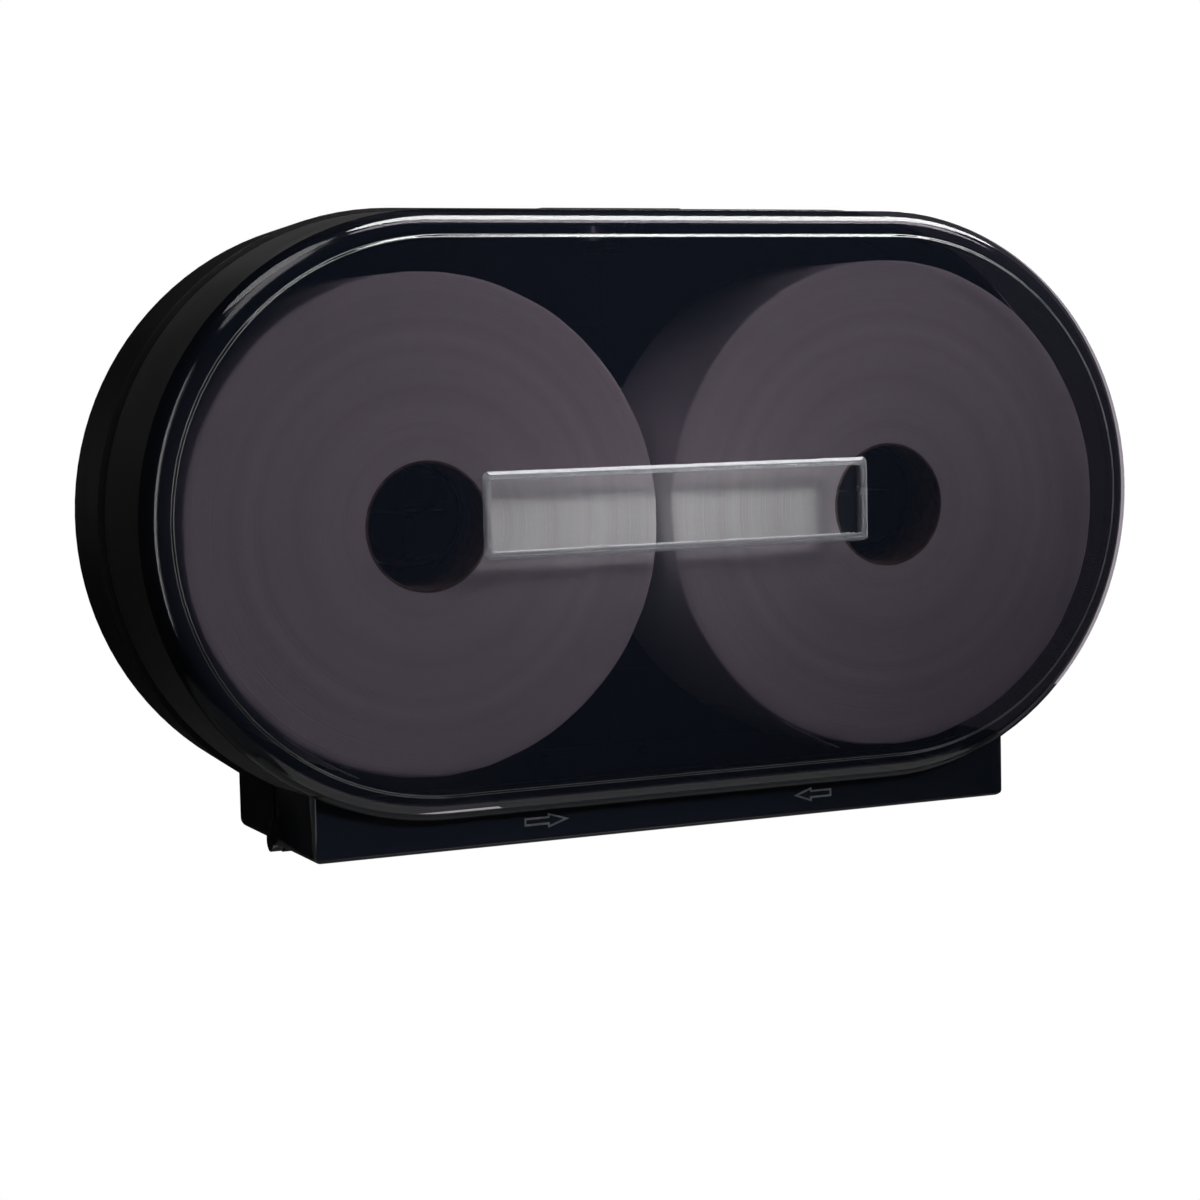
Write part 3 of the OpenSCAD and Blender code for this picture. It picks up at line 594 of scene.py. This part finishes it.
def cover_finish(face):
    """Which finish a face has: the skirt's, the textured side's or the polished front's."""
    middle = face.calc_center_median()
    far_out = from_spine(middle)
    if middle.z < UNDERSIDE_TOP and far_out > UNDERSIDE and middle.y < RIM_STARTS:
        return SKIRT
    if middle.z < SKIRT_TOP and abs(middle.x) < SKIRT_HALF and middle.y > SKIRT_FRONT:
        if far_out > SKIRT_OUT or (middle.z < SKIRT_JOINS and far_out > SKIRT_OUT_BELOW):
            return SKIRT
    if abs(face.normal.y) < 0.2 and far_out > OUTER_SKIN and middle.y > RIM_STARTS:
        return TEXTURED
    return POLISHED


cover_bm = merged_copy("cover_shell")


def on_step(vert, depth):
    """Whether a corner lies on one of the two edges of the panel's step."""
    return abs(vert.co.y - depth) < 0.00005 and abs(from_spine(vert.co) - STEP_R) < 0.0002


step_top = {vert for vert in cover_bm.verts if on_step(vert, PANEL_FACE)}
step_foot = {vert for vert in cover_bm.verts if on_step(vert, STEP_FOOT)}
step_edges = [
    edge for edge in cover_bm.edges
    if any(all(vert in loop for vert in edge.verts) for loop in (step_top, step_foot))
]
for vert in step_top:
    inwards = Vector((nearest_on_spine(vert.co) - vert.co.x, 0, -vert.co.z))
    vert.co += inwards.normalized() * STEP_SLOPE
rounded = bmesh.ops.bevel(
    cover_bm, geom=step_edges, offset=STEP_ROUND, segments=2, profile=0.5,
    affect="EDGES", material=-1,
)
# the bevel's faces take the pale smoke, a painted highlight along the step
painted_highlight_faces = set(rounded["faces"])
for face in cover_bm.faces:
    face.material_index = PAINTED_HIGHLIGHT if face in painted_highlight_faces else cover_finish(face)
print("edges rounded at the panel's step:", len(step_edges))
counts = [sum(face.material_index == i for face in cover_bm.faces) for i in range(4)]
cover = finish_piece(
    "smoke_cover", cover_bm, "cover", "smoke_cover",
    smoke_polished, smoke_frosted, smoke_skirt, smoke_painted_highlight,
)
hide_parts("cover_shell")
print("faces polished, textured, skirt, edge:", counts)

# %% [markdown]
# ## Smooth light on the rim
#
# The CAD model's facets on the rounded rim are long and uneven, and averaged normals make the
# highlight wobble. The rim's shape has a formula, though: a quarter circle swept round the
# outline. So its normals are worked out from the circle's centre, and the highlight runs as
# evenly as on polished plastic. Flat faces get their own normal, and the drafted side looks
# straight away from the spine.

# %% Normals of the cover
RIM_CENTRE_R = 0.1272
RIM_CENTRE_Y = -0.107
RIM_ROUND = 0.010
COVER_WALL = 0.0024
ALMOST = 0.00012
FACES_FRONT = 0.9999
FACES_AWAY = 0.998


def rim_normal(point):
    """The rim's normal at a point on its outer or inner rounding, or None."""
    out, ahead = from_spine(point) - RIM_CENTRE_R, point.y - RIM_CENTRE_Y
    if out < -ALMOST or ahead > ALMOST:
        return None
    reach = math.hypot(out, ahead)
    side = point - Vector((nearest_on_spine(point), point.y, 0))
    normal = side.normalized() * out + Vector((0, ahead, 0))
    if abs(reach - RIM_ROUND) < ALMOST:
        return normal.normalized()
    if abs(reach - RIM_ROUND + COVER_WALL) < ALMOST:
        return -normal.normalized()
    return None


def side_normal(point, face_normal):
    """Straight away from the spine, or straight towards it on an inner wall."""
    away = (point - Vector((nearest_on_spine(point), point.y, 0))).normalized()
    return away if away.dot(face_normal) > 0 else -away


cover_mesh = cover.data
corner_normals = [corner.vector.copy() for corner in cover_mesh.corner_normals]
rounded_faces = 0
for face in cover_mesh.polygons:
    points = [cover_mesh.vertices[i].co for i in face.vertices]
    on_rim = [rim_normal(point) for point in points]
    if abs(face.normal.y) > FACES_FRONT:
        found = [face.normal.copy()] * len(points)
    elif all(normal is not None for normal in on_rim):
        found = on_rim
        rounded_faces += 1
    elif face.material_index == TEXTURED or all(
        abs(side_normal(point, face.normal).dot(face.normal)) > FACES_AWAY for point in points
    ):
        found = [side_normal(point, face.normal) for point in points]
    else:
        continue
    for corner, normal in zip(face.loop_indices, found):
        corner_normals[corner] = normal
cover_mesh.normals_split_custom_set(corner_normals)
print("rim faces with exact normals:", rounded_faces)

# %% [markdown]
# ## Smooth light on the casing
#
# The casing's side steps in past its lip, and its facets share corners with the flat back and
# the pad. Averaging those would bend the light over each flat face, so here too the side looks
# straight away from the spine, and each broad flat face keeps its own normal.

# %% Normals of the casing
BROAD = 0.00008
ALMOST_AWAY = 0.995

casing_mesh = casing.data
corner_normals = [corner.vector.copy() for corner in casing_mesh.corner_normals]
set_faces = 0
for face in casing_mesh.polygons:
    points = [casing_mesh.vertices[i].co for i in face.vertices]
    if abs(face.normal.y) < 0.1 and all(
        abs(side_normal(point, face.normal).dot(face.normal)) > ALMOST_AWAY for point in points
    ):
        found = [side_normal(point, face.normal) for point in points]
    elif face.area > BROAD or abs(face.normal.y) > FACES_FRONT:
        found = [face.normal.copy()] * len(points)
    else:
        continue
    set_faces += 1
    for corner, normal in zip(face.loop_indices, found):
        corner_normals[corner] = normal
casing_mesh.normals_split_custom_set(corner_normals)
print("casing faces with exact normals:", set_faces, "of", len(casing_mesh.polygons))

# %% [markdown]
# ## Arrows on the skirt
#
# Two small arrows are moulded on the skirt's front and show where the paper hangs. Each is a
# flat outline of seven corners, extruded by almost half a millimetre. An inset sinks its middle
# and leaves a raised border, whose softened edges catch the light, and which wears the pale
# smoke as a painted highlight.

# %% Arrows
ARROW_HEIGHT = -0.1420
ARROW_FOOT = -0.1074
ARROW_PROUD = 0.00045
ARROW_BORDER = 0.0008
ARROW_SUNK = 0.0003
BORDER, MIDDLE = 0, 1


def make_arrow(name, tail_x, neck_x, tip_x, tail_half=0.0019, head_half=0.0035):
    """One arrow with a raised border, on the skirt's front."""
    bm = bmesh.new()
    outline = [
        (tail_x, -tail_half), (neck_x, -tail_half), (neck_x, -head_half), (tip_x, 0),
        (neck_x, head_half), (neck_x, tail_half), (tail_x, tail_half),
    ]
    corners = [bm.verts.new((x, ARROW_FOOT, ARROW_HEIGHT + up)) for x, up in outline]
    base = bm.faces.new(corners)
    raised = bmesh.ops.extrude_face_region(bm, geom=[base])["geom"]
    moved = [item for item in raised if isinstance(item, bmesh.types.BMVert)]
    bmesh.ops.translate(bm, verts=moved, vec=(0, -ARROW_PROUD, 0))
    top = next(item for item in raised if isinstance(item, bmesh.types.BMFace))
    bmesh.ops.recalc_face_normals(bm, faces=bm.faces)
    rim = list(top.edges)
    bmesh.ops.inset_region(bm, faces=[top], thickness=ARROW_BORDER, use_even_offset=True)
    bmesh.ops.inset_region(
        bm, faces=[top], thickness=0.0001, depth=-ARROW_SUNK, use_even_offset=True
    )
    bmesh.ops.bevel(
        bm, geom=rim, offset=0.00012, segments=2, profile=0.5, affect="EDGES", material=-1
    )
    bmesh.ops.recalc_face_normals(bm, faces=bm.faces)
    # the border takes the pale smoke, a painted highlight; the sunk middle takes the skirt's
    for face in bm.faces:
        behind_border = face.calc_center_median().y > ARROW_FOOT - ARROW_PROUD + 0.0002
        face.material_index = MIDDLE if behind_border and face.normal.y < -0.9 else BORDER
    return finish_piece(name, bm, "cover", "smoke_cover", smoke_painted_highlight, smoke_skirt, crisp=40)


make_arrow("left_arrow", -0.0785, -0.0668, -0.0560)
make_arrow("right_arrow", 0.0823, 0.0715, 0.0618)

# %% [markdown]
# ## Tissue and cardboard
#
# A jumbo roll is hundreds of turns of thin tissue. Its faces show the turns as faint rings, and
# its side shows the slit edges as streaks and the paper's embossing as small dents. Rings are
# noise that only sees the distance from the roll's axis, streaks are noise that changes fast
# along the axis and slowly round it. A Mapping node moves the pattern's centre to the axis.


# %% Tissue and cardboard
ROLL_HEIGHT = -0.0043
ROLL_X = 0.1195
LEFT_R = 0.1145
RIGHT_R = 0.1185


def tissue(name, centre_x):
    """Soft white paper with rings round the roll's axis, streaks on its side, and dents."""
    material, tree, shader = new_material(name, (0.86, 0.84, 0.85), 0.92, Specular_IOR_Level=0.2)
    place = node(tree, "TexCoord").outputs["Object"]
    centred = node(tree, "Mapping", Vector=place, Location=(-centre_x, 0, -ROLL_HEIGHT))
    flat = node(tree, "Mapping", Vector=centred.outputs["Vector"], Scale=(1, 0, 1))
    radius = node(tree, "VectorMath", {"operation": "LENGTH"})
    tree.links.new(flat.outputs["Vector"], radius.inputs[0])
    out = radius.outputs["Value"]
    turns = node(tree, "TexNoise", {"noise_dimensions": "1D"}, W=out, Scale=900.0, Detail=3.0)
    bands = node(tree, "TexNoise", {"noise_dimensions": "1D"}, W=out, Scale=90.0, Detail=4.0)
    along = node(tree, "Mapping", Vector=place, Scale=(9, 420, 9)).outputs["Vector"]
    streaks = node(tree, "TexNoise", Vector=along, Scale=1.0, Detail=4.0).outputs["Fac"]
    dents = node(tree, "TexVoronoi", Vector=place, Scale=420.0).outputs["Distance"]
    height = maths(tree, "ADD", turns.outputs["Fac"], maths(tree, "MULTIPLY", streaks, 0.3))
    height = maths(tree, "ADD", height, maths(tree, "MULTIPLY", dents, 0.35))
    bump = node(tree, "Bump", Strength=0.45, Distance=0.00035, Height=height)
    tree.links.new(bump.outputs["Normal"], shader.inputs["Normal"])
    shade = maths(tree, "ADD", bands.outputs["Fac"], maths(tree, "MULTIPLY", streaks, 0.2))
    shade = spread(tree, maths(tree, "DIVIDE", shade, 1.2), 0.0, 1.0)
    paper = two_colours(tree, shade, (0.76, 0.735, 0.745), (0.88, 0.865, 0.87))
    tree.links.new(paper, shader.inputs["Base Color"])
    print("material", name)
    return material


def cardboard(name, centre_x):
    """Brown board wound from strips: fibres, and a dark seam that climbs like a screw thread."""
    material, tree, shader = new_material(name, (0.42, 0.31, 0.21), 0.85, Specular_IOR_Level=0.2)
    place = node(tree, "TexCoord").outputs["Object"]
    centred = node(tree, "Mapping", Vector=place, Location=(-centre_x, 0, -ROLL_HEIGHT))
    parts = node(tree, "SeparateXYZ", Vector=centred.outputs["Vector"]).outputs
    turn = maths(tree, "DIVIDE", maths(tree, "ARCTAN2", parts["Z"], parts["X"]), 2 * math.pi)
    climb = maths(tree, "ADD", turn, maths(tree, "MULTIPLY", parts["Y"], 14.0))
    seam = maths(tree, "LESS_THAN", maths(tree, "FRACT", climb), 0.02)
    fibres = node(tree, "TexNoise", Vector=place, Scale=260.0, Detail=6.0).outputs["Fac"]
    mottled = spread(tree, fibres, 0.2, 1.0)
    shade = maths(tree, "SUBTRACT", mottled, maths(tree, "MULTIPLY", seam, 0.6))
    board = two_colours(tree, shade, (0.13, 0.085, 0.055), (0.30, 0.215, 0.145))
    tree.links.new(board, shader.inputs["Base Color"])
    height = maths(tree, "SUBTRACT", fibres, seam)
    bump = node(tree, "Bump", Strength=0.7, Distance=0.0003, Height=height)
    tree.links.new(bump.outputs["Normal"], shader.inputs["Normal"])
    print("material", name)
    return material


# %% [markdown]
# ## The rolls
#
# A roll is a solid of revolution, so its half section is spun once round the axis. The section
# is more than a rectangle: the slit faces have low ridges where groups of turns were wound
# tighter or looser, and the outer edges are soft. After the spin a little noise moves the outer
# turns in and out, because no roll is a perfect cylinder.

# %% Rolls
ROLL_BACK = -0.016
ROLL_FRONT = -0.103
BORE_R = 0.0299
EDGE_ROUND = 0.0014
RINGS = 26
SPIN_STEPS = 180
SIDE_STEPS = 10


def roll_section(outer_r):
    """Half section as (radius, y) pairs, from the bore's front over the side to the bore's back."""
    reach = outer_r - EDGE_ROUND
    radii = [BORE_R + (reach - BORE_R) * i / RINGS for i in range(RINGS + 1)]
    ridge = [0.00035 * noise.noise(Vector((radius * 230, outer_r * 40, 0))) for radius in radii]
    ridge[0] = 0.0
    quarter = [math.radians(angle) for angle in (22.5, 45, 67.5)]
    front = [(radius, ROLL_FRONT + up) for radius, up in zip(radii, ridge)]
    front_edge = [
        (reach + EDGE_ROUND * math.sin(angle), ROLL_FRONT + EDGE_ROUND * (1 - math.cos(angle)))
        for angle in quarter
    ]
    back_edge = [
        (reach + EDGE_ROUND * math.cos(angle), ROLL_BACK - EDGE_ROUND * (1 - math.sin(angle)))
        for angle in quarter
    ]
    straight = ROLL_BACK - ROLL_FRONT - 2 * EDGE_ROUND
    side = [
        (outer_r, ROLL_FRONT + EDGE_ROUND + straight * i / SIDE_STEPS)
        for i in range(SIDE_STEPS + 1)
    ]
    back = [(radius, ROLL_BACK - abs(up)) for radius, up in reversed(list(zip(radii, ridge)))]
    return front + front_edge + side + back_edge + back


def spin_section(section, centre_x):
    """Spin a closed half section once round a roll's axis."""
    bm = bmesh.new()
    corners = [bm.verts.new((centre_x + radius, y, ROLL_HEIGHT)) for radius, y in section]
    edges = [bm.edges.new(pair) for pair in zip(corners, corners[1:] + corners[:1])]
    bmesh.ops.spin(
        bm,
        geom=corners + edges,
        cent=(centre_x, 0, ROLL_HEIGHT),
        axis=(0, 1, 0),
        angle=2 * math.pi,
        steps=SPIN_STEPS,
        use_merge=True,
    )
    bmesh.ops.remove_doubles(bm, verts=bm.verts, dist=1e-7)
    bmesh.ops.recalc_face_normals(bm, faces=bm.faces)
    return bm


def make_roll(side, centre_x, outer_r):
    """Spin a roll of paper, roughen its outer turns and hand back its material."""
    bm = spin_section(roll_section(outer_r), centre_x)
    axis = Vector((centre_x, 0, ROLL_HEIGHT))
    for vert in bm.verts:
        out = Vector((vert.co.x, 0, vert.co.z)) - axis
        share = max(0.0, (out.length - 0.6 * outer_r) / (0.4 * outer_r))
        wobble = 0.0007 * noise.noise(out * 22) + 0.0003 * noise.noise(out * 90)
        vert.co += out.normalized() * (wobble - 0.0004) * share
    paper = tissue(f"tissue_{side}", centre_x)
    piece = finish_piece(f"{side}_paper_roll", bm, f"{side}_paper", "tissue", paper, crisp=50)
    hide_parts(f"{side}_roll")
    return paper


def make_core(side, centre_x):
    """Spin the cardboard tube inside a roll."""
    bore, outside = 0.0286, 0.0298
    chamfer = 0.0002
    section = [
        (bore, ROLL_FRONT + chamfer), (bore + chamfer, ROLL_FRONT), (outside - chamfer, ROLL_FRONT),
        (outside, ROLL_FRONT + chamfer), (outside, ROLL_BACK - chamfer),
        (outside - chamfer, ROLL_BACK), (bore + chamfer, ROLL_BACK), (bore, ROLL_BACK - chamfer),
    ]
    bm = spin_section(section, centre_x)
    board = cardboard(f"cardboard_{side}", centre_x)
    piece = finish_piece(f"{side}_cardboard_core", bm, f"{side}_paper", "cardboard", board)
    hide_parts(f"{side}_core")


left_tissue = make_roll("left", -ROLL_X, LEFT_R)
right_tissue = make_roll("right", ROLL_X, RIGHT_R)
make_core("left", -ROLL_X)
make_core("right", ROLL_X)

# %% [markdown]
# ## The loose end of the paper
#
# The last turn ends in a cut edge that never lies quite flat. It is a line across the roll, spun
# through a few degrees into a sheet, lifted more and more towards its end, and given the
# thickness of two-ply tissue.


# %% Loose ends
LOOSE_INSET = 0.0006
STRIPS = 12
SHEET_STEPS = 24
PAPER_THICK = 0.00025


def loose_end(side, centre_x, outer_r, paper, start, sweep, lift):
    """A sheet that leaves the roll at the angle start and stands off by lift at its cut edge."""
    bm = bmesh.new()
    width = ROLL_BACK - ROLL_FRONT - 2 * LOOSE_INSET
    place = Vector((centre_x, ROLL_FRONT + LOOSE_INSET, ROLL_HEIGHT))
    arm = Vector((math.cos(start), 0, math.sin(start))) * (outer_r + 0.0001)
    along = [Vector((0, width * i / STRIPS, 0)) for i in range(STRIPS + 1)]
    line = [bm.verts.new(place + arm + step) for step in along]
    edges = [bm.edges.new(pair) for pair in zip(line, line[1:])]
    bmesh.ops.spin(
        bm, geom=line + edges, cent=place, axis=(0, -1, 0), angle=sweep,
        steps=SHEET_STEPS, use_merge=False,
    )
    for vert in bm.verts:
        out = Vector((vert.co.x - centre_x, 0, vert.co.z - ROLL_HEIGHT))
        turned = (math.atan2(out.z, out.x) - start) % (2 * math.pi)
        # rounding can put the first line just short of a full turn instead of at zero
        share = min(1.0, turned / sweep) if turned < math.pi else 0.0
        ripple = 1 + 0.5 * noise.noise(Vector((0, vert.co.y * 45, share * 3)))
        vert.co += out.normalized() * lift * ripple * share**3
    bmesh.ops.remove_doubles(bm, verts=bm.verts, dist=1e-7)
    bmesh.ops.recalc_face_normals(bm, faces=bm.faces)
    bmesh.ops.solidify(bm, geom=bm.faces, thickness=PAPER_THICK)
    bmesh.ops.recalc_face_normals(bm, faces=bm.faces)
    finish_piece(f"{side}_loose_end", bm, f"{side}_paper", "tissue", paper, crisp=60)


loose_end("left", -ROLL_X, LEFT_R, left_tissue, math.radians(232), math.radians(20), 0.0030)
loose_end("right", ROLL_X, RIGHT_R, right_tissue, math.radians(238), math.radians(18), 0.0026)
